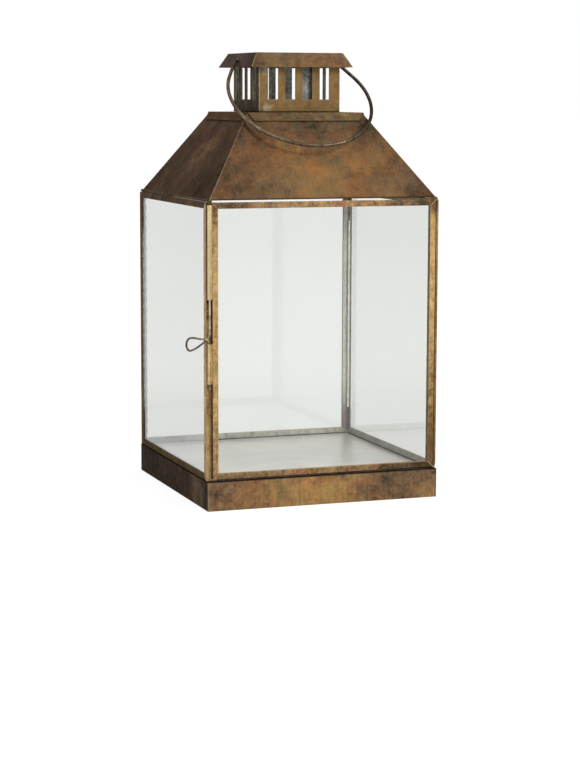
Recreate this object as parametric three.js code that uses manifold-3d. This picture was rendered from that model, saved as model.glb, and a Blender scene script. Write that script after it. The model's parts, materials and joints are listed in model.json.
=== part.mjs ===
// Square brass lantern: a glazed box on a shallow plinth, under a hipped roof with a slotted
// chimney. The front is a hinged glass door with a sliding wire bolt, and a wire bail, hooked
// into the chimney's cap, carries the lantern.
// Millimetres, +Z up. The origin is the middle of the plinth's underside. The door faces -Y,
// its hinge is at +X and its bolt at -X.

import * as THREE from 'three';
import { mergeVertices } from 'three/addons/utils/BufferGeometryUtils.js';
import Module from 'manifold-3d';

const wasm = await Module();
wasm.setup();

// Sheet metal and seams
const sheet = 0.8;
const seam = 0.3; // what solder fills between two pieces

// Plinth
const plinthSide = 200;
const plinthHeight = 24;

// Channel: a strip folded to a U, which grips the edge of a pane
const channelFace = 5; // as seen from outside
const channelDepth = 2.8; // across the pane
const channelWall = 0.4;
const channelBend = 0.6; // outer radius of its two folds
const paneThickness = 1.5;
const paneEdgeGap = 0.4; // from the pane's edge to the channel's bottom

// Glazed box: two side panels, a back panel that covers the end of the left one and stops short
// of the right one, and a door in front of them
const boxInset = 0.2; // box's faces behind those of the plinth
const panelHeight = 224.2;
const rearSlit = 0.7; // open slit between the back panel and the right one
const doorRebate = 3; // open depth between the door and the side panels
const doorLift = 1.4; // door's bottom edge above that of the panels
const stopWidth = 5.2; // behind each of the door's stiles
const stopBehindDoor = 0.6;
const sillHeight = 4; // strip behind the door's bottom rail

// Hinge: a wire pin in a tube along the door's edge
const pinDiameter = 1.2;
const pinClearance = 0.25;
const hingeTubeWall = 0.35;
const hingeTubeLift = 1.3; // bare pin below the tube
const pinHookLength = 8;
const pinHookTurn = 10; // degrees that the pin's bent end points into the lantern
const pinBendRadius = 1.6;

// Latch: a wire bolt, with a loop to pull it by, in two sleeves with a window between them
const sleeveDiameter = 3.8;
const sleeveBore = 2.4;
const sleeveProud = 0.4; // sleeve's axis in front of the door's face
const sleeveTopDrop = 1.8; // upper sleeve's top below the door's
const upperSleeveLength = 75.3;
const windowLength = 35.2; // open height between the two sleeves
const lowerSleeveLength = 32.5;
const boltWire = 1.6;
const boltTipBelow = 4.8; // bolt's tip below the lower sleeve at rest
const boltEngagement = 0.6; // bolt's end above the keeper when it is shut
const boltReturn = 7.4; // from the window's lower edge up to where the wire runs straight again
const boltStraight = 3.2; // straight wire next to the loop
const boltLeadIn = 0.5; // from the window's lower edge down to where the wire starts to turn
const boltStop = 0.4; // between that place and the upper sleeve when the bolt is shut
const strandGap = 0.9; // how far each strand stands from the bolt's plane where they cross
const boltLoop = [ // the loop's centre line: distance out from the bolt, height over the window's edge
  [1.5, 2.4], [3.6, 3.7], [7, 4.2], [10.2, 4.8], [14.4, 5.5], [17.6, 4.9], [19.3, 2.2], [19.4, -1.3],
  [17.9, -4.2], [15.4, -4.7], [11.2, -3], [7, -0.3], [3.6, 2.2], [1.3, 4.4],
];
const keeperHeight = 2.8;
const keeperGap = 0.9; // from the upper sleeve to the keeper

// Roof
const eaveInset = 2.1;
const eaveGap = 1.5; // clear height over the door
const eaveStripHeight = 2;
const eaveStripFrontInset = 0.3;
const roofPitch = 55.4; // degrees from the horizontal
const crownSide = 103.4;
const crownTabDrop = 6.5;
const crownCrop = 1.1; // cut off the blank's corners
const flueSide = 60;

// Chimney
const chimneyWidth = 70.7;
const chimneyDepth = 67.4;
const chimneyPlace = [0.4, -2.3]; // soldered on a little right and forward of the roof's middle
const chimneyShown = 37.1; // from the crown to the cap's eave
const slotCount = 4;
const slotWidth = 8.9;
const slotPitch = 14.95;
const slotShift = [-0.8, 1.6]; // slots' middle from the wall's, in X on long walls, in Y on short
const slotFoot = 10.2; // solid band below the slots
const slotUnderCap = 3.4; // how far the slots run up behind the cap

// Cap
const capEaveSide = 88.6;
const capTopSide = 75.4;
const capRise = 11.8;

// Bail
const bailWire = 2.9;
const bailRadius = 60.9;
const bailPlay = 0.6; // it has slid this far to the right in its holes
const bailReach = 108.5; // from its pivot to the far side of its ring
const bailArc = 116; // degrees of the ring on each side, from that far side
const bailPivotDrop = 6.1; // below the cap's top
const bailHoleClearance = 0.45;
const bailEndReach = 37; // from the middle of the wire to its ends, inside the cap
const bailBendLength = 3.4; // on each side of its elbow
const bailBendStart = [0.3, 0.12]; // a point before the elbow: back, and off the straight end
const bailBendEnd = 0.45; // a point on the neck after it, all three as parts of that length

// Facets
const wireSides = 8;
const tubeSides = 16;
const bendSteps = 3;
const bailSteps = 112;
const bailRingPoints = 16; // on each half of the ring
const boltSteps = 124;

// What follows from these sizes
const radians = THREE.MathUtils.degToRad;
const boxHalf = plinthSide / 2 - boxInset;
const panelBottom = plinthHeight + seam;
const panelTop = panelBottom + panelHeight;
const panelMiddle = (panelBottom + panelTop) / 2;
const sideFrontEdge = boxHalf - channelDepth - doorRebate;
const mitreStep = seam / Math.SQRT2; // set back along a bar for a mitre that is one seam wide

const hingeTubeRadius = pinDiameter / 2 + pinClearance + hingeTubeWall;
const hingeX = boxHalf - seam - hingeTubeRadius;
const hingeY = -(boxHalf - hingeTubeRadius);
const doorBottom = panelBottom + doorLift;
const doorRight = hingeX - hingeTubeRadius - seam;
const doorLeft = -(boxHalf - sleeveDiameter);

const sleeveX = doorLeft - seam - sleeveDiameter / 2;
const sleeveY = -(boxHalf + sleeveProud);
const sleeveTop = panelTop - sleeveTopDrop;
const windowTop = sleeveTop - upperSleeveLength;
const windowBottom = windowTop - windowLength;
const sleeveBottom = windowBottom - lowerSleeveLength;
const boltTravel = windowLength - boltReturn - boltStop;
const keeperBottom = sleeveTop + keeperGap;
const keeperTop = keeperBottom + keeperHeight;

const eaveHalf = boxHalf - eaveInset;
const eaveZ = panelTop + eaveGap;
const roofAngle = radians(roofPitch);
const sheetAcross = sheet / Math.sin(roofAngle); // a sloping sheet measured level
const crownOffset = (sheet + seam) / Math.sin(roofAngle);
const crownHalf = crownSide / 2;
const crownTop = eaveZ + (eaveHalf + crownOffset - crownHalf) * Math.tan(roofAngle);
const crownTabFoot = crownTop - crownTabDrop;
const roofTop = crownTop - sheet - seam;

const chimneyBottom = crownTop + seam;
const capEaveZ = crownTop + chimneyShown;
const capTop = capEaveZ + capRise;
const chimneyTop = capTop - sheet - seam;
const pivotZ = capTop - bailPivotDrop;

// Half the roof's width, to the outside of its sheets, at a height
function roofHalfAt(z) {
  return eaveHalf - (z - eaveZ) / Math.tan(roofAngle);
}

// Half the cap's width at a height
function capHalfAt(z) {
  return (capEaveSide + (capTopSide - capEaveSide) * (z - capEaveZ) / capRise) / 2;
}

const brass = { roughness: 0.45, metalness: 0.9 };
const finish = {
  plinth: new THREE.MeshStandardMaterial({ color: 0x86683f, ...brass }),
  frame: new THREE.MeshStandardMaterial({ color: 0xa8834c, ...brass }),
  roof: new THREE.MeshStandardMaterial({ color: 0x7a5a3a, ...brass }),
  chimney: new THREE.MeshStandardMaterial({ color: 0x8a6a3a, ...brass }),
  wire: new THREE.MeshStandardMaterial({ color: 0x6b6350, ...brass }),
  tin: new THREE.MeshStandardMaterial({ color: 0xb9b9b0, roughness: 0.35, metalness: 0.9 }),
  glass: new THREE.MeshStandardMaterial({
    color: 0xe6eae6, roughness: 0.05, metalness: 0, transparent: true, opacity: 0.3,
  }),
};

// A geometry as a solid that can be cut, with its faces turned out
function solidOf(geometry) {
  const bare = geometry.clone();
  for (const name of Object.keys(bare.attributes)) {
    if (name !== 'position') bare.deleteAttribute(name);
  }
  const merged = mergeVertices(bare, 1e-4);
  const vertProperties = new Float32Array(merged.getAttribute('position').array);
  const triVerts = new Uint32Array(merged.getIndex().array);
  if (volumeOf(vertProperties, triVerts) < 0) {
    for (let i = 0; i < triVerts.length; i += 3) {
      [triVerts[i], triVerts[i + 1]] = [triVerts[i + 1], triVerts[i]];
    }
  }
  return new wasm.Manifold(new wasm.Mesh({ numProp: 3, vertProperties, triVerts }));
}

// Volume inside a closed mesh, negative where its faces point in
function volumeOf(points, triangles) {
  const corners = [new THREE.Vector3(), new THREE.Vector3(), new THREE.Vector3()];
  let sum = 0;
  for (let i = 0; i < triangles.length; i += 3) {
    corners.forEach((corner, k) => corner.fromArray(points, 3 * triangles[i + k]));
    sum += corners[0].dot(corners[1].clone().cross(corners[2])) / 6;
  }
  return sum;
}

function geometryOf(solid) {
  const mesh = solid.getMesh();
  const geometry = new THREE.BufferGeometry();
  geometry.setAttribute('position', new THREE.BufferAttribute(new Float32Array(mesh.vertProperties), 3));
  geometry.setIndex(new THREE.BufferAttribute(new Uint32Array(mesh.triVerts), 1));
  geometry.computeVertexNormals();
  return geometry;
}

function piece(name, geometry, material) {
  const mesh = new THREE.Mesh(geometryOf(solidOf(geometry)), material);
  mesh.name = name;
  return mesh;
}

// A closed outline from its corners
function outline(corners) {
  return new THREE.Shape(corners.map(([x, y]) => new THREE.Vector2(x, y)));
}

// A bar with both ends mitred: profile x is the distance out from the middle of the frame or
// roof that it belongs to, and reachAt gives half the bar's length at that distance.
function mitredBar(profile, reachAt) {
  const bar = new THREE.ExtrudeGeometry(profile, {
    depth: 1, bevelEnabled: false, curveSegments: bendSteps,
  });
  const corner = bar.getAttribute('position');
  for (let i = 0; i < corner.count; i += 1) {
    const end = corner.getZ(i) < 0.5 ? -1 : 1;
    corner.setZ(i, end * reachAt(corner.getX(i)));
  }
  return bar;
}

// Turns a bar so that its profile's x and y point along two given directions
function turned(bar, out, up) {
  const along = new THREE.Vector3().crossVectors(out, up);
  return bar.applyMatrix4(new THREE.Matrix4().makeBasis(out, up, along));
}

// A level, square block with upright or evenly sloping sides, between two heights
function frustum(bottomHalf, topHalf, bottomZ, topZ) {
  const block = new THREE.CylinderGeometry(
    topHalf * Math.SQRT2, bottomHalf * Math.SQRT2, topZ - bottomZ, 4,
  );
  block.rotateX(Math.PI / 2);
  block.rotateZ(Math.PI / 4);
  block.translate(0, 0, (bottomZ + topZ) / 2);
  return block;
}

// An upright tube from one height to another
function tube(outerRadius, boreRadius, bottomZ, topZ) {
  const ring = new THREE.Shape().absarc(0, 0, outerRadius, 0, 2 * Math.PI);
  ring.holes.push(new THREE.Path().absarc(0, 0, boreRadius, 0, 2 * Math.PI, true));
  const wall = new THREE.ExtrudeGeometry(ring, {
    depth: topZ - bottomZ, bevelEnabled: false, curveSegments: tubeSides,
  });
  return wall.translate(0, 0, bottomZ);
}

// A round wire along a path
function wire(path, diameter, steps) {
  const section = new THREE.Shape().absarc(0, 0, diameter / 2, 0, 2 * Math.PI);
  return new THREE.ExtrudeGeometry(section, {
    steps, extrudePath: path, curveSegments: wireSides,
  });
}

// Channel section, open towards the pane, with the outside of its fold at a distance out
function channelProfile(out) {
  const half = channelDepth / 2;
  const lip = out - channelFace;
  const inside = half - channelWall;
  const profile = new THREE.Shape();
  profile.moveTo(lip, -half);
  profile.lineTo(out - channelBend, -half);
  profile.absarc(out - channelBend, -half + channelBend, channelBend, -Math.PI / 2, 0);
  profile.absarc(out - channelBend, half - channelBend, channelBend, 0, Math.PI / 2);
  profile.lineTo(lip, half);
  profile.lineTo(lip, inside);
  profile.lineTo(out - channelWall, inside);
  profile.lineTo(out - channelWall, -inside);
  profile.lineTo(lip, -inside);
  return profile;
}

// A pane held by four mitred channels. The panel stands in XY, its outside towards +Z.
function glazedPanel(name, width, height, leftName, rightName) {
  const panel = new THREE.Group();
  const outside = new THREE.Vector3(0, 0, 1);
  const bars = [
    ['top_rail', new THREE.Vector3(0, 1, 0), height, width],
    ['bottom_rail', new THREE.Vector3(0, -1, 0), height, width],
    [leftName, new THREE.Vector3(-1, 0, 0), width, height],
    [rightName, new THREE.Vector3(1, 0, 0), width, height],
  ];
  for (const [barName, out, across, length] of bars) {
    const reachAt = (distance) => distance + (length - across) / 2 - mitreStep;
    const bar = mitredBar(channelProfile(across / 2), reachAt);
    panel.add(piece(`${name}_${barName}`, turned(bar, out, outside), finish.frame));
  }
  const paneInset = 2 * (channelWall + paneEdgeGap);
  const pane = new THREE.BoxGeometry(width - paneInset, height - paneInset, paneThickness);
  panel.add(piece(`${name}_glass`, pane, finish.glass));
  return panel;
}

// Stands a panel up, facing out from the lantern's axis after a turn about it
function standPanel(panel, turn, x, y, z) {
  const upright = new THREE.Group();
  panel.rotation.x = Math.PI / 2;
  upright.add(panel);
  upright.rotation.z = turn;
  upright.position.set(x, y, z);
  return upright;
}

// Plinth: a square skirt with the floor let into its top edge and a plate into its bottom edge
function buildPlinth() {
  const half = plinthSide / 2;
  const inside = half - sheet;
  const skirt = outline([[-half, -half], [half, -half], [half, half], [-half, half]]);
  skirt.holes.push(outline([[-inside, -inside], [-inside, inside], [inside, inside], [inside, -inside]]));
  const skirtWall = new THREE.ExtrudeGeometry(skirt, { depth: plinthHeight, bevelEnabled: false });
  const plateSide = 2 * (inside - seam);
  const floor = new THREE.BoxGeometry(plateSide, plateSide, sheet);
  floor.translate(0, 0, plinthHeight - sheet / 2);
  const bottom = new THREE.BoxGeometry(plateSide, plateSide, sheet);
  bottom.translate(0, 0, sheet / 2);
  return [
    piece('plinth_skirt', skirtWall, finish.plinth),
    piece('floor_plate', floor, finish.tin),
    piece('bottom_plate', bottom, finish.plinth),
  ];
}

// The three fixed panels, and what the door shuts against: a strip on the right, a low one along
// the bottom and, on the left, an angle that closes the corner over the left panel's front edge
function buildPanels() {
  const wallMiddle = boxHalf - channelDepth / 2;
  const inner = boxHalf - channelDepth;
  const leftRearEdge = inner - seam;
  const backRightEdge = inner - rearSlit;
  const left = glazedPanel('left', leftRearEdge + sideFrontEdge, panelHeight, 'rear_stile', 'front_stile');
  const right = glazedPanel('right', boxHalf + sideFrontEdge, panelHeight, 'front_stile', 'rear_stile');
  const back = glazedPanel('back', boxHalf + backRightEdge, panelHeight, 'right_stile', 'left_stile');
  const stopEdge = inner - seam - stopWidth;
  const stopFront = -(inner - stopBehindDoor);
  const stopBack = stopFront + sheet;
  const angleBack = -sideFrontEdge - seam;
  const strip = outline([
    [stopEdge, stopFront], [inner - seam, stopFront], [inner - seam, stopBack], [stopEdge, stopBack],
  ]);
  const angle = outline([
    [-boxHalf, stopFront], [-stopEdge, stopFront], [-stopEdge, stopBack],
    [sheet - boxHalf, stopBack], [sheet - boxHalf, angleBack], [-boxHalf, angleBack],
  ]);
  const stop = (section) => new THREE.ExtrudeGeometry(section, {
    depth: panelHeight, bevelEnabled: false,
  }).translate(0, 0, panelBottom);
  const sill = new THREE.BoxGeometry(2 * (stopEdge - seam), sheet, sillHeight);
  sill.translate(0, (stopFront + stopBack) / 2, panelBottom + sillHeight / 2);
  return [
    standPanel(left, -Math.PI / 2, -wallMiddle, (leftRearEdge - sideFrontEdge) / 2, panelMiddle),
    standPanel(right, Math.PI / 2, wallMiddle, (boxHalf - sideFrontEdge) / 2, panelMiddle),
    standPanel(back, Math.PI, (backRightEdge - boxHalf) / 2, wallMiddle, panelMiddle),
    piece('door_stop_left', stop(angle), finish.frame),
    piece('door_stop_right', stop(strip), finish.frame),
    piece('door_sill', sill, finish.frame),
  ];
}

// The door, with the tube that it turns on
function buildDoor() {
  const width = doorRight - doorLeft;
  const height = panelTop - doorBottom;
  const panel = glazedPanel('door', width, height, 'latch_stile', 'hinge_stile');
  const centreX = (doorLeft + doorRight) / 2;
  const centreY = -(boxHalf - channelDepth / 2);
  const hingeTube = tube(
    hingeTubeRadius, pinDiameter / 2 + pinClearance, doorBottom + hingeTubeLift, panelTop - seam,
  );
  hingeTube.translate(hingeX, hingeY, 0);
  return [
    standPanel(panel, 0, centreX, centreY, (doorBottom + panelTop) / 2),
    piece('door_hinge_tube', hingeTube, finish.wire),
  ];
}

// The hinge's wire pin: it stands on the floor and hooks in under the eave
function buildHingePin() {
  const hookZ = (panelTop + eaveZ) / 2;
  const turn = radians(pinHookTurn);
  const hook = (distance) => new THREE.Vector3(
    hingeX - distance * Math.cos(turn), hingeY + distance * Math.sin(turn), hookZ,
  );
  const upright = (z) => new THREE.Vector3(hingeX, hingeY, z);
  const path = new THREE.CurvePath();
  path.add(new THREE.LineCurve3(upright(plinthHeight + seam), upright(hookZ - pinBendRadius)));
  path.add(new THREE.QuadraticBezierCurve3(upright(hookZ - pinBendRadius), upright(hookZ), hook(pinBendRadius)));
  path.add(new THREE.LineCurve3(hook(pinBendRadius), hook(pinHookLength)));
  return piece('hinge_pin', wire(path, pinDiameter, tubeSides * wireSides), finish.wire);
}

// Short lengths of one tube: two sleeves on the door that guide the bolt, and the keeper on the
// corner of the eave that its upper end goes into
function buildSleeves() {
  return [
    ['latch_sleeve_upper', windowTop, sleeveTop],
    ['latch_sleeve_lower', sleeveBottom, windowBottom],
    ['latch_keeper', keeperBottom, keeperTop],
  ].map(([name, bottomZ, topZ]) => {
    const length = tube(sleeveDiameter / 2, sleeveBore / 2, bottomZ, topZ);
    return piece(name, length.translate(sleeveX, sleeveY, 0), finish.frame);
  });
}

// The bolt: one wire, up the lower sleeve, out of the window, round the loop and on up the upper
// sleeve. Its two strands pass one in front of the other where they cross.
function buildBolt() {
  const tip = sleeveBottom - boltTipBelow;
  const top = keeperTop + boltEngagement - boltTravel;
  const last = boltLoop.length - 1;
  const loop = boltLoop.map(([out, lift], i) => {
    const forward = -strandGap * Math.cos((Math.PI * i) / last);
    return new THREE.Vector3(-out, forward, windowBottom + lift);
  });
  const straight = (z) => new THREE.Vector3(0, 0, z);
  const points = [
    straight(tip),
    straight((tip + windowBottom) / 2),
    straight(windowBottom - boltStraight),
    straight(windowBottom - boltLeadIn),
    ...loop,
    straight(windowBottom + boltReturn),
    straight(windowBottom + boltReturn + boltStraight),
    straight((windowBottom + top) / 2),
    straight(top),
  ];
  const bolt = wire(new THREE.CatmullRomCurve3(points), boltWire, boltSteps);
  return piece('latch_bolt', bolt.translate(sleeveX, sleeveY, 0), finish.wire);
}

// Four roof sheets, mitred at the hips
function buildRoof() {
  const top = roofHalfAt(roofTop);
  const section = [
    [eaveHalf - sheetAcross, eaveZ], [eaveHalf, eaveZ], [top, roofTop], [top - sheetAcross, roofTop],
  ];
  return ['front', 'right', 'back', 'left'].map((side, i) => {
    const slope = mitredBar(outline(section), (distance) => distance - mitreStep);
    turned(slope, new THREE.Vector3(0, -1, 0), new THREE.Vector3(0, 0, 1));
    return piece(`roof_${side}`, slope.rotateZ(i * Math.PI / 2), finish.roof);
  });
}

// Strips that stand on the fixed panels and close the gap below the eave
function buildEaveStrips() {
  const inner = eaveHalf + seam;
  const bottom = panelTop + seam;
  const front = -(sideFrontEdge - eaveStripFrontInset);
  const sideLength = inner + sheet - front;
  const side = (sign) => {
    const strip = new THREE.BoxGeometry(sheet, sideLength, eaveStripHeight);
    return strip.translate(sign * (inner + sheet / 2), front + sideLength / 2, bottom + eaveStripHeight / 2);
  };
  const back = new THREE.BoxGeometry(2 * eaveHalf, sheet, eaveStripHeight);
  back.translate(0, inner + sheet / 2, bottom + eaveStripHeight / 2);
  return [
    piece('eave_strip_left', side(-1), finish.roof),
    piece('eave_strip_right', side(1), finish.roof),
    piece('eave_strip_back', back, finish.roof),
  ];
}

// Crown plate: a square plate, open in the middle for the flue, with a tab folded down over each
// slope. The blank's corners are cropped, so the tabs narrow downwards.
function buildCrown() {
  const slopeRun = (z) => (crownTop - z) / Math.tan(roofAngle);
  const plateBottom = crownTop - sheet;
  const over = frustum(crownHalf + slopeRun(crownTabFoot), crownHalf, crownTabFoot, crownTop);
  const underHalf = (z) => crownHalf + slopeRun(z) - sheetAcross;
  const below = crownTabFoot - sheet;
  const under = frustum(underHalf(below), underHalf(plateBottom), below, plateBottom);
  const flue = frustum(flueSide / 2, flueSide / 2, plateBottom - sheet, crownTop + sheet);
  const cropHalf = crownSide / Math.SQRT2 - crownCrop;
  const cropped = frustum(cropHalf, cropHalf, below, crownTop + sheet);
  cropped.rotateZ(Math.PI / 4);
  const crown = solidOf(over).subtract(solidOf(under)).subtract(solidOf(flue)).intersect(solidOf(cropped));
  return piece('crown_plate', geometryOf(crown), finish.roof);
}

// Four chimney walls with upright slots. The front and back walls cover the ends of the others.
function buildChimney() {
  const height = chimneyTop - chimneyBottom;
  const slotHeight = chimneyShown + slotUnderCap - slotFoot;
  const wall = (width, slotsMiddle, out) => {
    let plate = solidOf(new THREE.BoxGeometry(width, sheet, height));
    for (let i = 0; i < slotCount; i += 1) {
      const slot = new THREE.BoxGeometry(slotWidth, 2 * sheet, slotHeight);
      const middle = slotsMiddle + (i - (slotCount - 1) / 2) * slotPitch;
      slot.translate(middle, 0, slotFoot + (slotHeight - height) / 2);
      plate = plate.subtract(solidOf(slot));
    }
    return geometryOf(plate).translate(0, sheet / 2 - out, chimneyBottom + height / 2);
  };
  const between = chimneyDepth - 2 * (sheet + seam);
  const [long, short] = slotShift;
  return [
    ['front', chimneyWidth, long, chimneyDepth / 2],
    ['right', between, short, chimneyWidth / 2],
    ['back', chimneyWidth, -long, chimneyDepth / 2],
    ['left', between, -short, chimneyWidth / 2],
  ].map(([side, width, slotsMiddle, out], i) => {
    const plate = wall(width, slotsMiddle, out).rotateZ(i * Math.PI / 2);
    return piece(`chimney_${side}`, plate.translate(...chimneyPlace, 0), finish.chimney);
  });
}

// Cap: one folded sheet, hipped and flat on top, with a hole in two slopes for the bail
function buildCap() {
  const rake = (capEaveSide - capTopSide) / 2 / capRise;
  const across = sheet * Math.hypot(1, rake);
  const outer = frustum(capEaveSide / 2, capTopSide / 2, capEaveZ, capTop);
  const below = capEaveZ - sheet;
  const ceiling = capTop - sheet;
  const inner = frustum(capHalfAt(below) - across, capHalfAt(ceiling) - across, below, ceiling);
  const hole = new THREE.CylinderGeometry(
    bailWire / 2 + bailHoleClearance, bailWire / 2 + bailHoleClearance, 2 * capEaveSide, tubeSides,
  );
  hole.rotateZ(Math.PI / 2).translate(0, 0, pivotZ);
  const cap = solidOf(outer).subtract(solidOf(inner)).subtract(solidOf(hole));
  return piece('chimney_cap', geometryOf(cap), finish.roof);
}

// Half of the bail's centre line, from its end behind the cap to the far side of its ring, as
// [distance from the middle, distance from the pivot]. The neck runs straight off the ring.
function bailHalfLine() {
  const centre = bailReach - bailRadius;
  const ringPoint = (degrees) => [
    bailRadius * Math.sin(radians(degrees)), centre + bailRadius * Math.cos(radians(degrees)),
  ];
  const [shoulderX, shoulderR] = ringPoint(bailArc);
  const neckAngle = radians(bailArc - 90); // from straight away from the pivot
  const elbowX = shoulderX - shoulderR * Math.tan(neckAngle);
  const neck = (distance) => [
    elbowX + distance * Math.sin(neckAngle), distance * Math.cos(neckAngle),
  ];
  const neckLength = shoulderR / Math.cos(neckAngle);
  const line = [[bailEndReach, 0], [capHalfAt(pivotZ), 0], [elbowX - bailBendLength, 0]];
  const [back, off] = bailBendStart;
  line.push([elbowX - back * bailBendLength, off * bailBendLength]);
  line.push(neck(bailBendEnd * bailBendLength), neck(bailBendLength), neck(neckLength / 2));
  for (let i = bailRingPoints; i >= 0; i -= 1) line.push(ringPoint((bailArc * i) / bailRingPoints));
  return line;
}

// How far the bail clears the roof and its crown at a lean from straight down, at its closest
function bailRoofClearance(line, lean) {
  const clearances = line.map(([x, r]) => {
    const y = -r * Math.sin(lean);
    const z = pivotZ - r * Math.cos(lean);
    const skin = z > crownTabFoot - bailWire ? crownOffset : 0;
    const beside = (Math.max(Math.abs(x), Math.abs(y)) - roofHalfAt(z) - skin) * Math.sin(roofAngle);
    return Math.max(beside, z - crownTop);
  });
  return Math.min(...clearances);
}

// The bail lies forward on the roof: its lean is the steepest that clears the hips
function bailLean(line) {
  let through = 0;
  let clear = Math.PI / 2;
  for (let i = 0; i < 40; i += 1) {
    const lean = (through + clear) / 2;
    if (bailRoofClearance(line, lean) < bailWire / 2 + seam) through = lean;
    else clear = lean;
  }
  return clear;
}

function buildBail() {
  const half = bailHalfLine();
  const lean = bailLean(half);
  const place = ([x, r]) => new THREE.Vector3(x, -r * Math.sin(lean), pivotZ - r * Math.cos(lean));
  const mirrored = half.slice(0, -1).reverse().map(([x, r]) => [-x, r]);
  const path = new THREE.CatmullRomCurve3([...half, ...mirrored].map(place));
  return piece('bail_handle', wire(path, bailWire, bailSteps).translate(bailPlay, 0, 0), finish.wire);
}

const lantern = new THREE.Group();
lantern.add(
  ...buildPlinth(),
  ...buildPanels(),
  ...buildDoor(),
  buildHingePin(),
  ...buildSleeves(),
  buildBolt(),
  ...buildEaveStrips(),
  ...buildRoof(),
  buildCrown(),
  ...buildChimney(),
  buildCap(),
  buildBail(),
);

export default lantern;
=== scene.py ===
# %% [markdown]
# # A square brass lantern
#
# The lantern is a glazed box of thin brass channel on a shallow plinth, with a hipped roof, a
# slotted chimney and a wire bail. The solids come from CAD with every piece in its place. This
# lesson gives them the look of aged brass, redraws the wires and tubes as smooth surfaces, adds
# the solder that holds the seams, and sets up light and camera. Lengths are in metres, and MM
# turns millimetres into them.

import json
import math

import bpy
import numpy as np
from mathutils import Matrix, Vector


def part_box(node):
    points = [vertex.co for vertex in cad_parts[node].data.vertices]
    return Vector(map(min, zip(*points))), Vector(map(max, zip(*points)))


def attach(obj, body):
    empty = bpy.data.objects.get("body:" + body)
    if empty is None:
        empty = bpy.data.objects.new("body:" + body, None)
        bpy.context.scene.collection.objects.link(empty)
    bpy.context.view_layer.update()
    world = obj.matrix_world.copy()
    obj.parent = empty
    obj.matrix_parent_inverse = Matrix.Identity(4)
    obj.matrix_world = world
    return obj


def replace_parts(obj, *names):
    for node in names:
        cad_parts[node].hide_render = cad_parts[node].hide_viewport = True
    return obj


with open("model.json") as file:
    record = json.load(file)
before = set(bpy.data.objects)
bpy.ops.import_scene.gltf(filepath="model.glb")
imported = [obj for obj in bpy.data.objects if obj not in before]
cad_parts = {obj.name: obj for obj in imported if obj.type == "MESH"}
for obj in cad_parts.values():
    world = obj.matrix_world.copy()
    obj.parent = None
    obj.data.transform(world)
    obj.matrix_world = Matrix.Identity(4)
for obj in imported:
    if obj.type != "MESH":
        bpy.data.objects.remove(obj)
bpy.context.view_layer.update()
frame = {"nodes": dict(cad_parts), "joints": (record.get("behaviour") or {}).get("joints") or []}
nodes = frame["nodes"]

MM = 0.001

# %% [markdown]
# ## Colour and nodes
#
# Colours are picked as sRGB hex values, as a colour picker shows them. Shaders add and scale
# light, so they need linear values, and one function turns the first into the second. A second
# one adds a node to a tree, with its settings and its links, so that a material reads from top
# to bottom in the order in which the light's colour is worked out. A third lays one colour over
# another where a mask says so, which is how most stains below are made.

# %% Helpers for materials


def linear(hex_colour):
    """sRGB to linear: c / 12.92 below 0.04045, else ((c + 0.055) / 1.055) to the power 2.4."""
    parts = np.array([int(hex_colour[i : i + 2], 16) for i in (1, 3, 5)]) / 255
    light = np.where(parts <= 0.04045, parts / 12.92, ((parts + 0.055) / 1.055) ** 2.4)
    return (*light.tolist(), 1.0)


def add(tree, kind, links=None, stops=None, **settings):
    """Adds a node. Settings are its properties, and stops the even colours of its ramp.

    Links map its inputs, by name or number, to a value, an output, or a node, which stands for
    its first output."""
    node = tree.nodes.new(kind)
    for name, value in settings.items():
        setattr(node, name, value)
    for key, value in (links or {}).items():
        named = [s for s in node.inputs if s.enabled and s.name == key]
        socket = node.inputs[key] if isinstance(key, int) else named[0]
        if isinstance(value, bpy.types.Node):
            value = next(s for s in value.outputs if s.enabled)
        if isinstance(value, bpy.types.NodeSocket):
            tree.links.new(value, socket)
        else:
            socket.default_value = value
    if stops:
        elements = node.color_ramp.elements
        while len(elements) < len(stops):
            elements.new(0.5)
        for k, (element, tone) in enumerate(zip(elements, stops)):
            element.position = k / (len(stops) - 1)
            element.color = linear(tone)
    return node


def new_material(name):
    """An empty node material: (material, tree)."""
    material = bpy.data.materials.new(name)
    material.use_nodes = True
    material.node_tree.nodes.clear()
    return material, material.node_tree


def lay_over(tree, under, over, mask, none_at, full_at, strength=1.0, blend="MIX"):
    """Lays one colour over another: not at all where the mask is none_at, at full strength where
    it is full_at, and in step between them."""
    amount = {"Value": mask, "From Min": none_at, "From Max": full_at, "To Max": strength}
    colours = {"Factor": add(tree, "ShaderNodeMapRange", amount), "A": under, "B": over}
    return add(tree, "ShaderNodeMix", colours, data_type="RGBA", blend_type=blend)


print("mid grey #808080 is", round(linear("#808080")[0], 3), "in linear light")

# %% [markdown]
# ## Aged brass
#
# The sheets are brass that was darkened in a chemical bath and rubbed back by hand. The bath
# leaves clouds of brown, red and olive a few centimetres wide, and rubbing leaves gold where the
# hand went most. Noise suits this, because it has no seams and runs on round a fold. A layered
# noise gives the clouds, a second one stretched up the sheet gives the strokes, and soft round
# spots say where the sheet was rubbed more or less than elsewhere. A few of these spots are
# painted shade instead, and one is a painted highlight.
#
# A real stroke of the hand is a few tenths of a millimetre wide. That is too fine to show from
# here, so the strokes are drawn as coarse as they need to show, about 1.5 mm wide.

# %% Noise, spots and places
SPECKLE = 2.2 * MM
ANY_STROKE = (1.5 * MM, 1.5 * MM, 45 * MM)
FRONT_STROKE = (1.4 * MM, 0, 40 * MM)
SIDE_STROKE = (0, 1.4 * MM, 40 * MM)


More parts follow.
